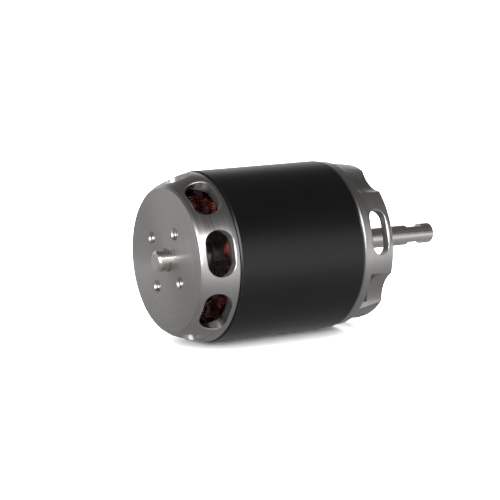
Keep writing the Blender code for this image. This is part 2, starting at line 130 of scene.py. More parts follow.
# Name, centre, target, width, height and strength of each panel
PANELS = (
    ("softbox_left", (-0.44, -0.20, 0.12), (-0.03, 0.0, 0.0), 0.42, 0.38, 6.0),
    ("softbox_high", (-0.18, -0.42, 0.27), (-0.03, 0.0, 0.0), 0.36, 0.12, 9.0),
    ("dark_card_right", (0.40, -0.24, 0.08), (0.0, 0.0, 0.0), 0.34, 0.34, 0.12),
)
PANEL_EDGE = 0.25
CAMERA_PLACE = (-0.19441, -0.29621, 0.06024)
CAMERA_LOOKING = (0.49981, 0.84897, -0.17157)
CAMERA_ROLL = -0.0055
CAMERA_LENS = 150.4
CAMERA_SHIFT_Y = -0.0018


# ---------------------------------------------------------------- mesh helpers

def around(angle, radius, x=0.0):
    """A point at an angle in degrees round the axis, from -Y towards +Z."""
    turn = math.radians(angle)
    return Vector((x, -radius * math.cos(turn), radius * math.sin(turn)))


def spin_to(angle):
    """The turn about X that carries the direction -Y round to an angle in degrees."""
    return Matrix.Rotation(-math.radians(angle), 4, "X")


def finish_mesh(name, bm, sharp=SHARP_ANGLE):
    """Makes a smooth-shaded mesh of a bmesh, with edges over an angle kept sharp."""
    bmesh.ops.recalc_face_normals(bm, faces=bm.faces)
    mesh = bpy.data.meshes.new(name)
    bm.to_mesh(mesh)
    bm.free()
    mesh.shade_smooth()
    mesh.set_sharp_from_angle(angle=sharp)
    return mesh


def new_piece(name, mesh, material, body, slot, *replaced):
    """Links a visible piece that rides on a body and stands for CAD nodes."""
    item = bpy.data.objects.new(name, mesh)
    bpy.context.scene.collection.objects.link(item)
    if not mesh.materials:
        mesh.materials.append(material)
    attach(item, body)
    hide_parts(*replaced)
    return item


def turned(bm, profile, steps=FINE_STEPS, centre=Vector((0.0, 0.0, 0.0))):
    """Adds a closed (x, radius) profile turned about the X axis. A radius of 0 is a pole."""
    rings = []
    for x, radius in profile:
        if radius == 0.0:
            rings.append([bm.verts.new(centre + Vector((x, 0.0, 0.0)))])
            continue
        turns = [360.0 * index / steps for index in range(steps)]
        rings.append([bm.verts.new(centre + around(turn, radius, x)) for turn in turns])
    for ring, following in zip(rings, rings[1:] + rings[:1]):
        if len(ring) == 1 and len(following) == 1:
            continue
        for index in range(steps):
            after = (index + 1) % steps
            corners = [ring[index % len(ring)], ring[after % len(ring)]]
            corners += [following[after % len(following)], following[index % len(following)]]
            bm.faces.new(list(dict.fromkeys(corners)))


def arc(centre_x, centre_r, radius, start, end, steps=8):
    """Points on a profile's rounded stretch, with angles in degrees from +X towards +radius."""
    points = []
    for index in range(steps + 1):
        turn = math.radians(start + (end - start) * index / steps)
        points.append((centre_x + radius * math.cos(turn), centre_r + radius * math.sin(turn)))
    return points


def smooth_through(points, steps=4):
    """A curve through profile points, ends included, with a few points between each pair."""
    ends = [points[0]] + list(points) + [points[-1]]
    curve = []
    for before, start, end, after in zip(ends, ends[1:], ends[2:], ends[3:]):
        for index in range(steps):
            t = index / steps
            weights = (-t + 2 * t ** 2 - t ** 3, 2 - 5 * t ** 2 + 3 * t ** 3,
                       t + 4 * t ** 2 - 3 * t ** 3, t ** 3 - t ** 2)
            parts = (before, start, end, after)
            curve.append(tuple(sum(w * p[axis] for w, p in zip(weights, parts)) / 2 for axis in (0, 1)))
    return curve + [points[-1]]


def rounded_outline(half_x, half_y, corner, steps):
    """A rectangle with round corners, as (x, y) points."""
    points = []
    for quarter in range(4):
        sign_x = 1 if quarter in (0, 3) else -1
        sign_y = 1 if quarter in (0, 1) else -1
        for index in range(steps + 1):
            turn = math.radians(90.0 * (quarter + index / steps))
            x = sign_x * (half_x - corner) + corner * math.cos(turn)
            y = sign_y * (half_y - corner) + corner * math.sin(turn)
            if not points or math.dist(points[-1], (x, y)) > 1e-7:
                points.append((x, y))
    if math.dist(points[0], points[-1]) < 1e-7:
        points.pop()
    return points


def join_loops(bm, loops):
    """Closes a stack of loops of equal length into one solid."""
    bm.faces.new(loops[0])
    bm.faces.new(loops[-1])
    for loop, following in zip(loops, loops[1:]):
        for index in range(len(loop)):
            after = (index + 1) % len(loop)
            bm.faces.new((loop[index], loop[after], following[after], following[index]))


def opening_cutter(bm, half_x, half_y, centre_x, angle, start_radius, surface, chamfer, steps=18):
    """A round-ended opening through a turned wall, whose mouth chamfer follows the wall.

    surface gives the wall's radius at a place along the axis.
    """
    turn = spin_to(angle)
    loops = []
    flare = 0.6 * MM
    stages = ((0.0, None, start_radius), (0.0, -chamfer, 0.0), (chamfer, 0.0, 0.0),
              (chamfer + flare, flare, 0.0), (chamfer + flare, None, CAN_RADIUS + 2 * MM))
    for grow, rise, level in stages:
        corner = min(half_x, half_y) + grow
        loop = []
        for x, y in rounded_outline(half_x + grow, half_y + grow, corner, steps):
            height = level
            if rise is not None:
                height = math.sqrt(surface(centre_x + x) ** 2 - y ** 2) + rise
            loop.append(bm.verts.new(turn @ Vector((centre_x + x, -height, y))))
        loops.append(loop)
    join_loops(bm, loops)


def radial_prism(bm, outline, centre_x, angle, start_radius, end_radius):
    """Adds a prism that runs outwards at an angle, with an (x, sideways) outline."""
    turn = spin_to(angle)
    loops = []
    for radius in (start_radius, end_radius):
        loops.append([bm.verts.new(turn @ Vector((centre_x + x, -radius, y))) for x, y in outline])
    join_loops(bm, loops)


def circle(radius, steps):
    """A circle's points, as (x, y)."""
    turns = [2 * math.pi * index / steps for index in range(steps)]
    return [(radius * math.cos(turn), radius * math.sin(turn)) for turn in turns]


def threaded_profile(start_x, end_x, radius, depth, pitch, mouth, chamfer_out):
    """A tapped hole's cutter profile: a chamfered mouth at start_x, then thread ridges to end_x.

    chamfer_out is -1 when the mouth opens towards -X and 1 when it opens towards +X.
    """
    clear = 0.2 * MM
    profile = [(start_x + chamfer_out * clear, 0.0), (start_x + chamfer_out * clear, mouth + clear)]
    ridge_x = start_x - chamfer_out * (mouth - radius)
    profile.append((ridge_x, radius))
    count = int(abs(end_x - ridge_x) / pitch)
    for index in range(count):
        x = ridge_x - chamfer_out * pitch * (index + 0.25)
        profile.append((x, radius))
        profile.append((x - chamfer_out * 0.3 * pitch, radius + depth))
        profile.append((x - chamfer_out * 0.45 * pitch, radius + depth))
    profile += [(end_x, radius), (end_x, 0.0)]
    return profile


def carve(mesh, cutters):
    """Takes each cutter bmesh out of a mesh, and returns the new mesh."""
    item = bpy.data.objects.new("carved", mesh)
    bpy.context.scene.collection.objects.link(item)
    made = [item]
    for bm in cutters:
        cutter = bpy.data.objects.new("cutter", finish_mesh("cutter", bm))
        bpy.context.scene.collection.objects.link(cutter)
        made.append(cutter)
        modifier = item.modifiers.new("cut", "BOOLEAN")
        modifier.operation = "DIFFERENCE"
        modifier.solver = "EXACT"
        modifier.object = cutter
    bpy.context.view_layer.update()
    evaluated = item.evaluated_get(bpy.context.evaluated_depsgraph_get())
    result = bpy.data.meshes.new_from_object(evaluated)
    for item in made:
        bpy.data.objects.remove(item, do_unlink=True)
    bm = bmesh.new()
    bm.from_mesh(result)
    bmesh.ops.remove_doubles(bm, verts=bm.verts, dist=0.002 * MM)
    bmesh.ops.dissolve_degenerate(bm, edges=bm.edges, dist=0.001 * MM)
    result.clear_geometry()
    bm.to_mesh(result)
    bm.free()
    result.shade_smooth()
    result.set_sharp_from_angle(angle=SHARP_ANGLE)
    return result


def tube(bm, path, radius, sides=6):
    """Adds a round tube that follows a path of points, closed at both ends."""
    loops = []
    side = None
    for index, point in enumerate(path):
        along = (path[min(index + 1, len(path) - 1)] - path[max(index - 1, 0)]).normalized()
        side = along.orthogonal() if side is None else side - along * side.dot(along)
        side.normalize()
        other = along.cross(side)
        ring = []
        for step in range(sides):
            turn = 2 * math.pi * step / sides
            outwards = math.cos(turn) * side + math.sin(turn) * other
            ring.append(bm.verts.new(point + radius * outwards))
        loops.append(ring)
    join_loops(bm, loops)


# ---------------------------------------------------------------- materials

def set_range(node, from_low, from_high, to_low, to_high):
    """Sets the four limits of a Map Range node."""
    node.inputs["From Min"].default_value = from_low
    node.inputs["From Max"].default_value = from_high
    node.inputs["To Min"].default_value = to_low
    node.inputs["To Max"].default_value = to_high


class Nodes:
    """A material's node tree, with short calls that add nodes to it."""

    def __init__(self, name, colour, roughness, metallic):
        self.material = bpy.data.materials.new(name)
        self.material.use_nodes = True
        self.tree = self.material.node_tree
        self.shader = self.tree.nodes["Principled BSDF"]
        self.set("Base Color", (*colour, 1.0))
        self.set("Roughness", roughness)
        self.set("Metallic", metallic)

    def set(self, socket, value):
        """Sets a value on the shader's own socket."""
        self.shader.inputs[socket].default_value = value

    def add(self, kind, **settings):
        """Adds a node and sets its attributes."""
        node = self.tree.nodes.new(kind)
        for key, value in settings.items():
            setattr(node, key, value)
        return node

    def link(self, source, target):
        self.tree.links.new(source, target)

    def math(self, operation, first, second=None):
        """A sum on sockets or numbers."""
        node = self.add("ShaderNodeMath", operation=operation)
        for socket, value in zip(node.inputs, (first, second)):
            if isinstance(value, (int, float)):
                socket.default_value = value
            elif value is not None:
                self.link(value, socket)
        return node.outputs[0]

    def places(self):
        """The place on the object, then its parts: along the axis, away from it and round it."""
        place = self.add("ShaderNodeTexCoord").outputs["Object"]
        split = self.add("ShaderNodeSeparateXYZ")
        self.link(place, split.inputs[0])
        x, y, z = split.outputs
        square = self.math("ADD", self.math("MULTIPLY", y, y), self.math("MULTIPLY", z, z))
        return place, x, self.math("SQRT", square), self.math("ARCTAN2", z, y)

    def combine(self, *parts):
        """A vector made of three sockets."""
        node = self.add("ShaderNodeCombineXYZ")
        for socket, value in zip(node.inputs, parts):
            self.link(value, socket)
        return node.outputs[0]

    def noise(self, vector, scale, detail=2.0, rough=0.5):
        """Noise from 0 to 1, mostly near 0.5."""
        node = self.add("ShaderNodeTexNoise")
        self.link(vector, node.inputs["Vector"])
        node.inputs["Scale"].default_value = scale
        node.inputs["Detail"].default_value = detail
        node.inputs["Roughness"].default_value = rough
        return node.outputs["Fac"]

    def spread(self, value, low, high, from_low=0.3, from_high=0.7):
        """Stretches a range of values to run from low to high, and clamps what lies outside."""
        node = self.add("ShaderNodeMapRange")
        self.link(value, node.inputs["Value"])
        set_range(node, from_low, from_high, low, high)
        return node.outputs["Result"]

    def mix(self, factor, first, second):
        """Mixes two colours, each a socket or three numbers."""
        node = self.add("ShaderNodeMix", data_type="RGBA")
        self.link(factor, node.inputs["Factor"])
        for name, value in (("A", first), ("B", second)):
            socket = [s for s in node.inputs if s.name == name and s.type == "RGBA"][0]
            if isinstance(value, tuple):
                socket.default_value = (*value, 1.0)
            else:
                self.link(value, socket)
        return [s for s in node.outputs if s.type == "RGBA"][0]

    def bump(self, height, strength, distance):
        """Raises the surface by a height and gives the shader its normal."""
        node = self.add("ShaderNodeBump")
        node.inputs["Strength"].default_value = strength
        node.inputs["Distance"].default_value = distance
        self.link(height, node.inputs["Height"])
        self.link(node.outputs[0], self.shader.inputs["Normal"])

    def painted_edge_highlight(self, radius):
        """1 along sharp edges and 0 on open faces: the mask for a painted edge highlight."""
        bevel = self.add("ShaderNodeBevel", samples=4)
        bevel.inputs["Radius"].default_value = radius
        geometry = self.add("ShaderNodeNewGeometry")
        dot = self.add("ShaderNodeVectorMath", operation="DOT_PRODUCT")
        self.link(bevel.outputs[0], dot.inputs[0])
        self.link(geometry.outputs["Normal"], dot.inputs[1])
        return self.spread(dot.outputs["Value"], 1.0, 0.0, 0.80, 0.99)


def tinted(colour, factor):
    """A colour made lighter or darker."""
    return tuple(min(1.0, channel * factor) for channel in colour)


def turned_metal(name, colour, roughness, grain, anisotropy, painted_highlight_gain=1.25, spread=0.06, relief=0.12):
    """Metal turned on a lathe: fine rings round the axis, faint smudges and edges brightened as a
    painted highlight.
    """
    nodes = Nodes(name, colour, roughness, 1.0)
    place, along, out, round_axis = nodes.places()
    ring_place = nodes.combine(nodes.math("MULTIPLY", along, 1 / grain),
                               nodes.math("MULTIPLY", out, 1 / grain),
                               nodes.math("MULTIPLY", round_axis, 0.9))
    rings = nodes.noise(ring_place, 1.0, 2.0)
    bands = nodes.noise(ring_place, 0.11, 3.0)
    smudges = nodes.noise(place, 160.0, 4.0, 0.6)
    rough = nodes.math("ADD", nodes.spread(bands, roughness - spread, roughness + spread),
                       nodes.spread(smudges, -0.03, 0.04))
    nodes.link(rough, nodes.shader.inputs["Roughness"])
    shade = nodes.mix(nodes.spread(rings, 0.0, 1.0), tinted(colour, 0.93), tinted(colour, 1.05))
    shade = nodes.mix(nodes.spread(smudges, 0.0, 0.5), shade, tinted(colour, 0.90))
    # Lighter along sharp edges: a painted highlight that stands in for the glints the chamfers catch.
    shade = nodes.mix(nodes.painted_edge_highlight(0.09 * MM), shade, tinted(colour, painted_highlight_gain))
    nodes.link(shade, nodes.shader.inputs["Base Color"])
    nodes.bump(rings, relief, 0.006 * MM)
    nodes.set("Anisotropic", anisotropy)
    nodes.set("Anisotropic Rotation", 0.25)
    tangent = nodes.add("ShaderNodeTangent", direction_type="RADIAL", axis="X")
    nodes.link(tangent.outputs[0], nodes.shader.inputs["Tangent"])
    return nodes.material


def black_coating(name):
    """Satin black paint over steel, with a fine grain, a faint cloudiness and lighter edges that are a
    painted highlight.
    """
    colour = (0.0008, 0.0008, 0.0009)
    nodes = Nodes(name, colour, 0.31, 0.0)
    place = nodes.places()[0]
    grain = nodes.noise(place, 9000.0, 2.0)
    cloud = nodes.noise(place, 90.0, 4.0, 0.6)
    nodes.link(nodes.spread(cloud, 0.28, 0.34), nodes.shader.inputs["Roughness"])
    shade = nodes.mix(nodes.spread(cloud, 0.0, 1.0), tinted(colour, 0.85), tinted(colour, 1.2))
    # Lighter along sharp edges: a painted highlight for the glints on the chamfers at the ring's ends.
    shade = nodes.mix(nodes.painted_edge_highlight(0.08 * MM), shade, (0.02, 0.02, 0.02))
    nodes.link(shade, nodes.shader.inputs["Base Color"])
    nodes.bump(grain, 0.10, 0.006 * MM)
    nodes.set("Specular IOR Level", 0.5)
    return nodes.material


def enamelled_wire(name):
    """Copper wire under dark red enamel."""
    nodes = Nodes(name, (0.36, 0.045, 0.018), 0.3, 0.85)
    place = nodes.places()[0]
    fine = nodes.noise(place, 2500.0, 2.0)
    broad = nodes.noise(place, 500.0, 3.0)
    shade = nodes.mix(nodes.spread(broad, 0.0, 1.0), (0.03, 0.003, 0.002), (0.22, 0.022, 0.009))
    nodes.link(shade, nodes.shader.inputs["Base Color"])
    nodes.link(nodes.spread(fine, 0.22, 0.40), nodes.shader.inputs["Roughness"])
    nodes.bump(fine, 0.15, 0.02 * MM)
    nodes.set("Coat Weight", 0.6)
    nodes.set("Coat Roughness", 0.15)
    return nodes.material


def laminations(name):
    """Thin stacked sheets with a dark coating."""
    nodes = Nodes(name, (0.045, 0.05, 0.048), 0.5, 0.3)
    place, along = nodes.places()[:2]
    sheet = nodes.math("FRACT", nodes.math("MULTIPLY", along, 1 / (0.2 * MM)))
    groove = nodes.math("GREATER_THAN", sheet, 0.82)
    cloud = nodes.noise(place, 900.0, 3.0)
    shade = nodes.mix(nodes.spread(cloud, 0.0, 1.0), (0.010, 0.011, 0.011), (0.020, 0.021, 0.020))
    shade = nodes.mix(groove, shade, (0.004, 0.004, 0.004))
    nodes.link(shade, nodes.shader.inputs["Base Color"])
    nodes.link(nodes.spread(cloud, 0.38, 0.62), nodes.shader.inputs["Roughness"])
    nodes.bump(groove, 0.4, -0.02 * MM)
    return nodes.material


def plain_grained(name, colour, roughness, metallic, scale, strength, distance):
    """A material with a fine grain and a broad cloudiness."""
    nodes = Nodes(name, colour, roughness, metallic)
    place = nodes.places()[0]
    fine = nodes.noise(place, scale, 3.0)
    broad = nodes.noise(place, scale / 12, 3.0)
    shade = nodes.mix(nodes.spread(broad, 0.0, 1.0), tinted(colour, 0.75), tinted(colour, 1.25))
    nodes.link(shade, nodes.shader.inputs["Base Color"])
    nodes.link(nodes.spread(fine, roughness - 0.08, roughness + 0.08), nodes.shader.inputs["Roughness"])
    nodes.bump(fine, strength, distance)
    return nodes.material


# ---------------------------------------------------------------- visible pieces

def line(points):
    """A function that gives the radius along a profile of (x, radius) points."""
    def radius_at(x):
        for (x0, r0), (x1, r1) in zip(points, points[1:]):
            if x <= x1:
                return r0 + (r1 - r0) * max(0.0, x - x0) / (x1 - x0)
        return points[-1][1]
    return radius_at


def make_bell(material):
    """The bell: a turned cup with a hub, eight slots, four tapped face holes and two grub holes."""
    plate_x = FACE_X + 2.0 * MM
    hub_end_x = -30.1 * MM
    spigot_end_x = BELL_END_X + 1.6 * MM
    flank = smooth_through([(FACE_X + x * MM, radius * MM) for x, radius in FLANK_POINTS])
    flank += [(BELL_END_X - 0.16 * MM, BELL_RADIUS)]
    profile = [(FACE_X, FACE_RIM_RADIUS)] + flank
    profile += [(BELL_END_X, BELL_RADIUS - 0.16 * MM)]
    profile += [(BELL_END_X, CAN_BORE - 0.05 * MM), (spigot_end_x, CAN_BORE - 0.05 * MM)]
    profile += [(spigot_end_x, BELL_BORE)]
    profile += arc(plate_x + 0.7 * MM, BELL_BORE - 0.7 * MM, 0.7 * MM, 90, 180, 9)
    profile += arc(plate_x + 0.5 * MM, HUB_RADIUS + 0.5 * MM, 0.5 * MM, 180, 270, 9)
    profile += [(hub_end_x - 0.3 * MM, HUB_RADIUS), (hub_end_x, HUB_RADIUS - 0.3 * MM)]
    profile += [(hub_end_x, SHAFT_BORE)]
    profile += [(FACE_X + 0.2 * MM, SHAFT_BORE), (FACE_X, SHAFT_BORE + 0.2 * MM)]
    bm = bmesh.new()
    turned(bm, profile)
    body = finish_mesh("bell_body", bm)
    slots = bmesh.new()
    surface = line(profile[:len(flank) + 1])
    for index in range(SLOT_COUNT):
        angle = BELL_PHASE + 360.0 * index / SLOT_COUNT
        opening_cutter(slots, SLOT_WIDTH / 2, SLOT_LENGTH / 2, SLOT_X, angle, 10.4 * MM, surface,
                       SLOT_CHAMFER)
    holes = bmesh.new()
    thread = threaded_profile(FACE_X, plate_x + THREAD_OVERRUN, FACE_HOLE_RADIUS, 0.16 * MM, 0.4 * MM,
                              FACE_HOLE_RADIUS + 0.25 * MM, -1)
    for index in range(4):
        turned(holes, thread, 32, around(BELL_PHASE + 45.0 + 90.0 * index, FACE_HOLE_CIRCLE))
    for angle in (BELL_PHASE + 90.0, BELL_PHASE + 180.0):
        radial_prism(holes, circle(GRUB_RADIUS + 0.05 * MM, 32), GRUB_X, angle, MM, HUB_RADIUS + MM)
    mesh = carve(body, [slots, holes])
    return new_piece("bell_body", mesh, material, "rotor", "machined_aluminium", "bell")


def make_can(material):
    """The black flux ring, a tube with chamfered ends."""
    edge = 0.22 * MM
    profile = [(CAN_FRONT_X, CAN_RADIUS - edge), (CAN_FRONT_X + edge, CAN_RADIUS)]
    profile += [(CAN_REAR_X - edge, CAN_RADIUS), (CAN_REAR_X, CAN_RADIUS - edge)]
    profile += [(CAN_REAR_X, CAN_BORE), (CAN_FRONT_X, CAN_BORE)]
    bm = bmesh.new()
    turned(bm, profile)
    mesh = finish_mesh("flux_ring_sleeve", bm)
    return new_piece("flux_ring_sleeve", mesh, material, "rotor", "black_flux_ring", "flux_ring")


def make_base(material):
    """The base: a plate and ring with four lobes, a window in each and a flute between each two."""
    edge = 0.22 * MM
    hub = 5.9 * MM
    groove_end_x = PLATE_REAR_X + CROWN_GROOVE_WIDTH
    outside = [(BASE_FRONT_X, BASE_RADIUS - edge), (BASE_FRONT_X + edge, BASE_RADIUS)]
    outside += [(PLATE_REAR_X - 0.05 * MM, BASE_RADIUS), (PLATE_REAR_X, BASE_RADIUS - 0.12 * MM)]
    outside += [(-0.12 * MM, CROWN_RADIUS), (0.0, CROWN_RADIUS - 0.12 * MM)]
    profile = outside + [(0.0, CROWN_BORE + 0.12 * MM), (-0.12 * MM, CROWN_BORE)]
    profile += [(groove_end_x, CROWN_BORE), (groove_end_x, CROWN_GROOVE), (PLATE_REAR_X, CROWN_GROOVE)]
    profile += [(PLATE_REAR_X, hub), (TUBE_REAR_X - 0.25 * MM, hub), (TUBE_REAR_X, hub - 0.25 * MM)]
    profile += [(TUBE_REAR_X, TUBE_RADIUS + 0.03 * MM), (BASE_FRONT_X, TUBE_RADIUS + 0.03 * MM)]
    bm = bmesh.new()
    turned(bm, profile)
    body = finish_mesh("base_body", bm)
    windows = bmesh.new()
    flutes = bmesh.new()
    holes = bmesh.new()
    surface = line(outside)
    thread = threaded_profile(PLATE_REAR_X, BASE_FRONT_X - THREAD_OVERRUN, MOUNT_HOLE_RADIUS,
                              0.2 * MM, 0.5 * MM, MOUNT_HOLE_RADIUS + 0.3 * MM, 1)
    rim = LEAD_HOLE_RADIUS + 0.2 * MM
    lead = [(BASE_FRONT_X - MM, 0.0), (BASE_FRONT_X - MM, LEAD_HOLE_RADIUS)]
    lead += [(PLATE_REAR_X - 0.2 * MM, LEAD_HOLE_RADIUS), (PLATE_REAR_X, rim)]
    lead += [(PLATE_REAR_X + MM, rim), (PLATE_REAR_X + MM, 0.0)]
    for index in range(LOBE_COUNT):
        lobe = LOBE_PHASE + 360.0 * index / LOBE_COUNT
        between = lobe + 180.0 / LOBE_COUNT
        opening_cutter(windows, WINDOW_WIDTH / 2, WINDOW_LENGTH / 2, WINDOW_X, lobe, 10.5 * MM, surface,
                       WINDOW_CHAMFER)
        flute = [(PLATE_REAR_X - 0.1 * MM, 0.0), (PLATE_REAR_X - 0.1 * MM, FLUTE_RADIUS)]
        flute += [(2 * MM, FLUTE_RADIUS), (2 * MM, 0.0)]
        turned(flutes, flute, 120, around(between, FLUTE_CIRCLE))
        turned(holes, lead, 64, around(lobe, LEAD_HOLE_CIRCLE))
        turned(holes, thread, 40, around(between, MOUNT_HOLE_CIRCLE))
    mesh = carve(body, [windows, flutes, holes])
    return new_piece("base_body", mesh, material, "stator", "machined_aluminium", "base")


def make_shaft(material):
    """The shaft, with a chamfered stub, a clip groove, a rounded end and two milled flats."""
    tip_x = FACE_X - STUB_LENGTH
    groove_start_x = CLIP_X - 0.03 * MM
    groove_end_x = CLIP_X + CLIP_WIDTH + 0.03 * MM
    groove = SHAFT_RADIUS - 0.3 * MM
    profile = [(tip_x, 0.0), (tip_x, SHAFT_RADIUS - 0.42 * MM)]
    profile += [(tip_x + 0.06 * MM, SHAFT_RADIUS - 0.30 * MM)]
    profile += [(tip_x + 0.34 * MM, SHAFT_RADIUS - 0.03 * MM)]
    profile += [(tip_x + 0.42 * MM, SHAFT_RADIUS)]
    profile += [(groove_start_x, SHAFT_RADIUS), (groove_start_x, groove)]
    profile += [(groove_end_x, groove), (groove_end_x, SHAFT_RADIUS)]
    profile += arc(OUTPUT_LENGTH - 0.45 * MM, SHAFT_RADIUS - 0.45 * MM, 0.45 * MM, 90, 0, 9)
    profile += [(OUTPUT_LENGTH, 0.0)]
    bm = bmesh.new()
    turned(bm, profile, SHAFT_STEPS)
    body = finish_mesh("motor_shaft", bm)
    flats = bmesh.new()
    middle_x = (FLAT_START_X + FLAT_END_X) / 2
    outline = rounded_outline((FLAT_END_X - FLAT_START_X) / 2, 3 * MM, 0.1 * MM, 4)
    for angle in (FLAT_ANGLE, FLAT_ANGLE + 180.0):
        radial_prism(flats, outline, middle_x, angle, FLAT_HEIGHT, 3 * MM)
    mesh = carve(body, [flats])
    return new_piece("motor_shaft", mesh, material, "rotor", "ground_steel", "shaft")


def winding_mesh(name, seed):
    """One tooth's winding: layers of round wire, wider towards the rim, with looser end turns."""
    dice = random.Random(seed)
    noise.seed_set(seed + 1)
    wire = WIRE_RADIUS
    widths = line([(WINDING_INNER, 1.82 * MM), (WINDING_MIDDLE, 2.15 * MM), (WINDING_OUTER, 2.4 * MM)])
    builds = line([(WINDING_INNER, 1.7 * MM), (WINDING_MIDDLE, 2.1 * MM), (WINDING_OUTER, 1.9 * MM)])
    bm = bmesh.new()
    for layer in range(WIRE_LAYERS):
        half_y = COIL_HOLE_Y + wire + layer * LAYER_STEP_MM * MM
        lowest = WINDING_INNER + wire
        while widths(lowest) < half_y + wire:
            lowest += 0.05 * MM
        highest = WINDING_OUTER - wire
        turns = int((highest - lowest) / WIRE_PITCH)
        path = []
        for turn in range(turns):
            slack = dice.uniform(0.0, 0.12) * MM
            half_x = COIL_HOLE_X + wire + layer * LAYER_END_STEP_MM * MM + slack
            outline = rounded_outline(half_x, half_y, half_y * 0.85, 5)
            for index, (x, y) in enumerate(outline):
                share = (turn + index / len(outline)) / turns
                radius = highest - (highest - lowest) * share
                place = Vector((x, y, radius)) * 900 + Vector((seed, layer, turn))
                wander = noise.noise_vector(place)
                end = max(0.0, abs(x) - 0.8 * COIL_HOLE_X) / (0.3 * COIL_HOLE_X)
                shift = wander * 0.13 * MM * min(1.0, end)
                limit = COIL_HOLE_X + builds(radius) - wire
                x = max(-limit, min(limit, x + shift.x))
                radius = max(WINDING_INNER + wire, min(WINDING_OUTER - wire, radius + shift.z))
                path.append(Vector((x, -radius, y)))
        tube(bm, path, wire)
    return finish_mesh(name, bm, WIRE_SHARP_ANGLE)


def make_windings(material):
    """The twelve windings, which share a few differently wound meshes."""
    variants = [winding_mesh(f"winding_mesh_{seed}", seed) for seed in range(WINDING_VARIANTS)]
    for mesh in variants:
        mesh.materials.append(material)
    for index in range(COIL_COUNT):
        number = f"{index + 1:02d}"
        item = bpy.data.objects.new(f"winding_{number}", variants[index % len(variants)])
        bpy.context.scene.collection.objects.link(item)
        turn = spin_to(LOBE_PHASE + 360.0 * index / COIL_COUNT)
        item.matrix_world = Matrix.Translation((STACK_MID_X, 0.0, 0.0)) @ turn
        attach(item, "stator")
        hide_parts(f"coil_{number}")


def paint_nodes(material, *prefixes):
    """Gives a material to the CAD nodes whose names start with a prefix."""
    for name, item in NODES.items():
        if name.startswith(prefixes):
            item.material_slots[0].material = material


# ---------------------------------------------------------------- studio

def add_stage(name, mesh):
    """Links an object that isn't part of the motor."""
    item = bpy.data.objects.new(name, mesh)
    bpy.context.scene.collection.objects.link(item)
    return item


def emitter(name, centre, target, width, height, strength):
    """A soft panel that glows, or a dark card if its strength is low, and fades at its edges."""
    material = bpy.data.materials.new(name)
    material.use_nodes = True
    tree = material.node_tree
    tree.nodes.clear()
    coordinates = tree.nodes.new("ShaderNodeTexCoord")
    split = tree.nodes.new("ShaderNodeSeparateXYZ")
    tree.links.new(coordinates.outputs["Object"], split.inputs[0])
    falls = []
    for axis, size, peak in ((0, width, strength), (1, height, 1.0)):
        away = tree.nodes.new("ShaderNodeMath")
        away.operation = "ABSOLUTE"
        tree.links.new(split.outputs[axis], away.inputs[0])
        fall = tree.nodes.new("ShaderNodeMapRange")
        fall.interpolation_type = "SMOOTHSTEP"
        tree.links.new(away.outputs[0], fall.inputs["Value"])
        set_range(fall, size / 2 * (1 - 2 * PANEL_EDGE), size / 2, peak, 0.0)
        falls.append(fall.outputs["Result"])
    glow = tree.nodes.new("ShaderNodeMath")
    glow.operation = "MULTIPLY"
    for fall, socket in zip(falls, glow.inputs):
        tree.links.new(fall, socket)
    emission = tree.nodes.new("ShaderNodeEmission")
    tree.links.new(glow.outputs[0], emission.inputs["Strength"])
    output = tree.nodes.new("ShaderNodeOutputMaterial")
    tree.links.new(emission.outputs[0], output.inputs["Surface"])
    mesh = bpy.data.meshes.new(name)
    corners = [(-width / 2, -height / 2, 0), (width / 2, -height / 2, 0)]
    corners += [(width / 2, height / 2, 0), (-width / 2, height / 2, 0)]
    mesh.from_pydata(corners, [], [(0, 1, 2, 3)])
    mesh.materials.append(material)
    panel = add_stage(name, mesh)
    turn = (Vector(target) - Vector(centre)).to_track_quat("Z", "Y").to_matrix().to_4x4()
    panel.matrix_world = Matrix.Translation(centre) @ turn
    panel.visible_camera = False


def make_world():
    """White for what the camera and matt surfaces see, with a dark ceiling for reflections."""
    world = bpy.data.worlds.new("studio")
    bpy.context.scene.world = world
    world.use_nodes = True
    tree = world.node_tree
    background = tree.nodes["Background"]
    coordinates = tree.nodes.new("ShaderNodeTexCoord")
    split = tree.nodes.new("ShaderNodeSeparateXYZ")
    tree.links.new(coordinates.outputs["Generated"], split.inputs[0])
    ramp = tree.nodes.new("ShaderNodeValToRGB")
    tree.links.new(split.outputs[2], ramp.inputs[0])
    while len(ramp.color_ramp.elements) < len(SKY_STOPS):
        ramp.color_ramp.elements.new(0.5)
    for element, (place, grey) in zip(ramp.color_ramp.elements, SKY_STOPS):
        element.position = place
        element.color = (grey, grey, grey * 0.99, 1.0)
    path = tree.nodes.new("ShaderNodeLightPath")
    mix = tree.nodes.new("ShaderNodeMix")
    mix.data_type = "RGBA"
    tree.links.new(path.outputs["Is Glossy Ray"], mix.inputs["Factor"])
    first, second = [s for s in mix.inputs if s.type == "RGBA"]
    first.default_value = (FILL_LEVEL, FILL_LEVEL, FILL_LEVEL, 1.0)
    tree.links.new(ramp.outputs["Color"], second)
    result = [s for s in mix.outputs if s.type == "RGBA"][0]
    tree.links.new(result, background.inputs["Color"])
    world.cycles.sampling_method = "NONE"


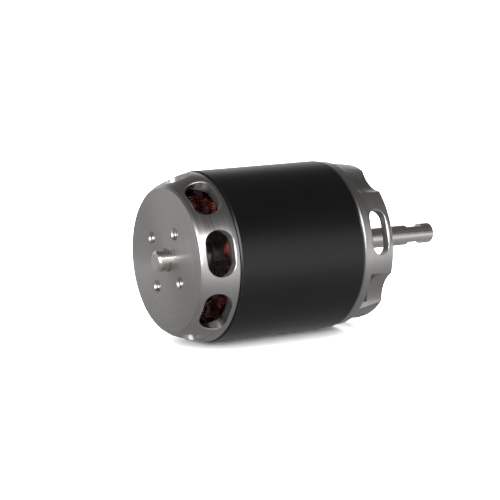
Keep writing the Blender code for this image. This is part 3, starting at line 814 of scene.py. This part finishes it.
def make_floor():
    """A white floor. In reflections it glows, with a painted shadow: dimmer close to the motor and
    behind its bell.
    """
    material = bpy.data.materials.new("floor_white")
    material.use_nodes = True
    tree = material.node_tree
    shader = tree.nodes["Principled BSDF"]
    shader.inputs["Base Color"].default_value = (0.93, 0.93, 0.93, 1.0)
    shader.inputs["Roughness"].default_value = 0.9
    shader.inputs["Specular IOR Level"].default_value = 0.1
    coordinates = tree.nodes.new("ShaderNodeTexCoord")
    # Painted contact shadow in the glow that reflections see: dimmer near the motor's footprint.
    spot = tree.nodes.new("ShaderNodeVectorMath")
    spot.operation = "MULTIPLY_ADD"
    spot.inputs[1].default_value = (0.45, 1.0, 0.0)
    spot.inputs[2].default_value = (0.45 * 18.0 * MM, 0.0, 0.0)
    tree.links.new(coordinates.outputs["Object"], spot.inputs[0])
    away = tree.nodes.new("ShaderNodeVectorMath")
    away.operation = "LENGTH"
    tree.links.new(spot.outputs[0], away.inputs[0])
    glow = tree.nodes.new("ShaderNodeMapRange")
    glow.interpolation_type = "SMOOTHSTEP"
    set_range(glow, 8.0 * MM, 75.0 * MM, 0.28, 0.95)
    tree.links.new(away.outputs["Value"], glow.inputs["Value"])
    # Painted cast shadow in the same glow, towards the back left behind the bell.
    back = tree.nodes.new("ShaderNodeVectorMath")
    back.operation = "DOT_PRODUCT"
    back.inputs[1].default_value = (-0.55, 0.83, 0.0)
    tree.links.new(coordinates.outputs["Object"], back.inputs[0])
    behind = tree.nodes.new("ShaderNodeMapRange")
    behind.interpolation_type = "SMOOTHSTEP"
    set_range(behind, 20.0 * MM, 90.0 * MM, 1.0, 0.42)
    tree.links.new(back.outputs["Value"], behind.inputs["Value"])
    product = tree.nodes.new("ShaderNodeMath")
    product.operation = "MULTIPLY"
    tree.links.new(glow.outputs["Result"], product.inputs[0])
    tree.links.new(behind.outputs["Result"], product.inputs[1])
    emission = tree.nodes.new("ShaderNodeEmission")
    tree.links.new(product.outputs[0], emission.inputs["Strength"])
    path = tree.nodes.new("ShaderNodeLightPath")
    mix = tree.nodes.new("ShaderNodeMixShader")
    tree.links.new(path.outputs["Is Glossy Ray"], mix.inputs[0])
    tree.links.new(shader.outputs[0], mix.inputs[1])
    tree.links.new(emission.outputs[0], mix.inputs[2])
    tree.links.new(mix.outputs[0], tree.nodes["Material Output"].inputs["Surface"])
    material.cycles.emission_sampling = "NONE"
    mesh = bpy.data.meshes.new("floor")
    half = FLOOR_HALF
    corners = [(x, y, FLOOR_Z) for x, y in ((-half, -half), (half, -half), (half, half), (-half, half))]
    mesh.from_pydata(corners, [], [(0, 1, 2, 3)])
    mesh.materials.append(material)
    add_stage("floor", mesh)


def make_camera():
    """A long lens in front of the bell's side, a little above the motor."""
    data = bpy.data.cameras.new("camera")
    data.lens = CAMERA_LENS
    data.sensor_width = 36.0
    data.shift_y = CAMERA_SHIFT_Y
    data.clip_start = 0.01
    data.clip_end = 20.0
    camera = bpy.data.objects.new("camera", data)
    bpy.context.scene.collection.objects.link(camera)
    place = Matrix.Translation(CAMERA_PLACE)
    looking = Vector(CAMERA_LOOKING).to_track_quat("-Z", "Y").to_matrix().to_4x4()
    camera.matrix_world = place @ looking @ Matrix.Rotation(CAMERA_ROLL, 4, "Z")
    bpy.context.scene.camera = camera


def main():
    # The turned metals' sharp edges are brightened as a painted highlight, by default 1.25 and 1.10 for
    # the steel.
    aluminium = turned_metal("machined_aluminium_turned", (0.50, 0.488, 0.478), 0.31, 0.045 * MM, 0.75)
    steel = turned_metal("ground_steel_fine", (0.74, 0.72, 0.69), 0.22, 0.03 * MM, 0.5,
                         painted_highlight_gain=1.10, spread=0.04, relief=0.02)
    black_steel = plain_grained("black_screw_steel_oxide", (0.05, 0.05, 0.055), 0.34, 0.8,
                                2500.0, 0.2, 0.01 * MM)
    nickel = plain_grained("nickel_magnet_plate", (0.42, 0.40, 0.37), 0.3, 1.0, 1800.0, 0.15, 0.02 * MM)
    insulator = plain_grained("end_insulator_moulded", (0.012, 0.013, 0.012), 0.45, 0.0,
                              1500.0, 0.25, 0.02 * MM)
    brass = plain_grained("bearing_brass_cage", (0.60, 0.44, 0.20), 0.32, 1.0, 2500.0, 0.15, 0.01 * MM)
    rubber = plain_grained("grommet_rubber_matt", (0.006, 0.006, 0.0063), 0.7, 0.0,
                           1800.0, 0.4, 0.03 * MM)
    make_bell(aluminium)
    make_can(black_coating("black_flux_ring_satin"))
    make_base(aluminium)
    make_shaft(steel)
    make_windings(enamelled_wire("enamelled_copper_wire"))
    paint_nodes(aluminium, "bearing_tube")
    paint_nodes(steel, "thrust_washer", "front_bearing", "rear_bearing")
    paint_nodes(brass, "front_bearing_cage", "rear_bearing_cage")
    paint_nodes(black_steel, "grub_screw", "shaft_retaining_clip")
    paint_nodes(nickel, "magnet")
    paint_nodes(laminations("coated_laminations_stack"), "stator_stack")
    paint_nodes(insulator, "front_stator_insulator", "rear_stator_insulator")
    paint_nodes(rubber, "lead_grommet")
    make_world()
    make_floor()
    for panel in PANELS:
        emitter(*panel)
    make_camera()
    settings = bpy.context.scene.view_settings
    settings.view_transform = "Standard"
    settings.look = "None"


main()
